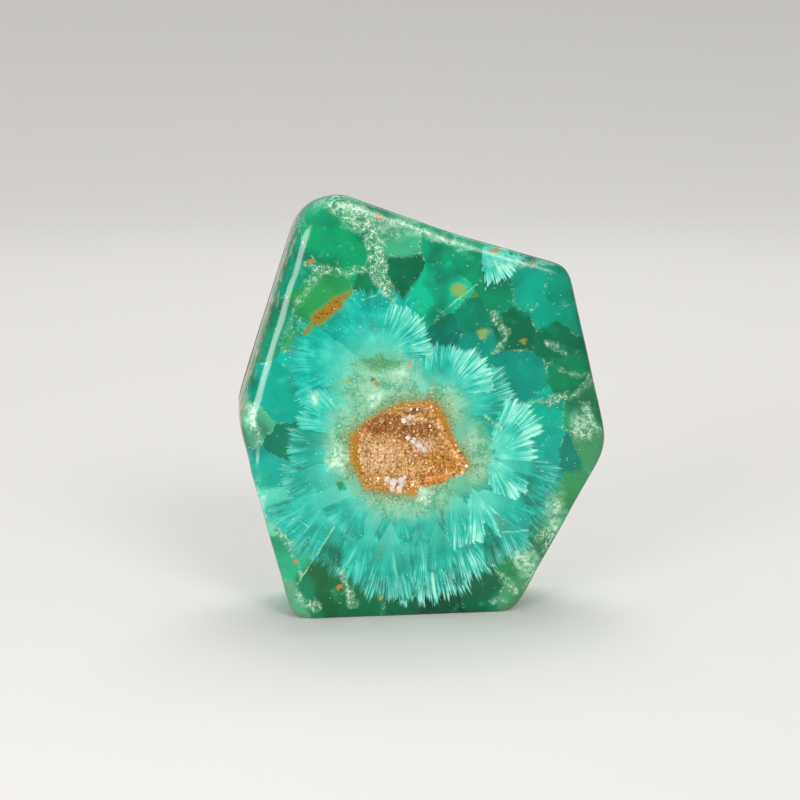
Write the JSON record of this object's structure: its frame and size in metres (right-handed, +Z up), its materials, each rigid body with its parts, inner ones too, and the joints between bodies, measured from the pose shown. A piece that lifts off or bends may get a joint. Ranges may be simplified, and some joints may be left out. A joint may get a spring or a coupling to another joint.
{
  "type": "polished smithsonite freeform",
  "caption": "Thick polished slab of green and turquoise smithsonite, seven-sided, standing on its ground foot, with a shallow pocket of brown druzy crystals in its front face.",
  "frame": {"origin": "middle of the bounding box at the foot, on the surface that the stone stands on", "axes": "+Z up, the longest way; the flat front face with the crystal pocket looks along -Y, leaning back 3 degrees; +X is to the viewer's right; the thickness lies along Y, the shortest way"},
  "size_m": [0.0878, 0.0346, 0.0998],
  "materials": {
    "polished_stone": "polished to a glassy gloss, translucent green with fibrous turquoise fans, pale veins and a brown rind on one side",
    "brown_crystals": "natural sparkling crystal faces, honey brown with paler and rusty patches"
  },
  "bodies": {
    "root": {"stone": "polished_stone", "druzy_crust": "brown_crystals"}
  },
  "joints": []
}
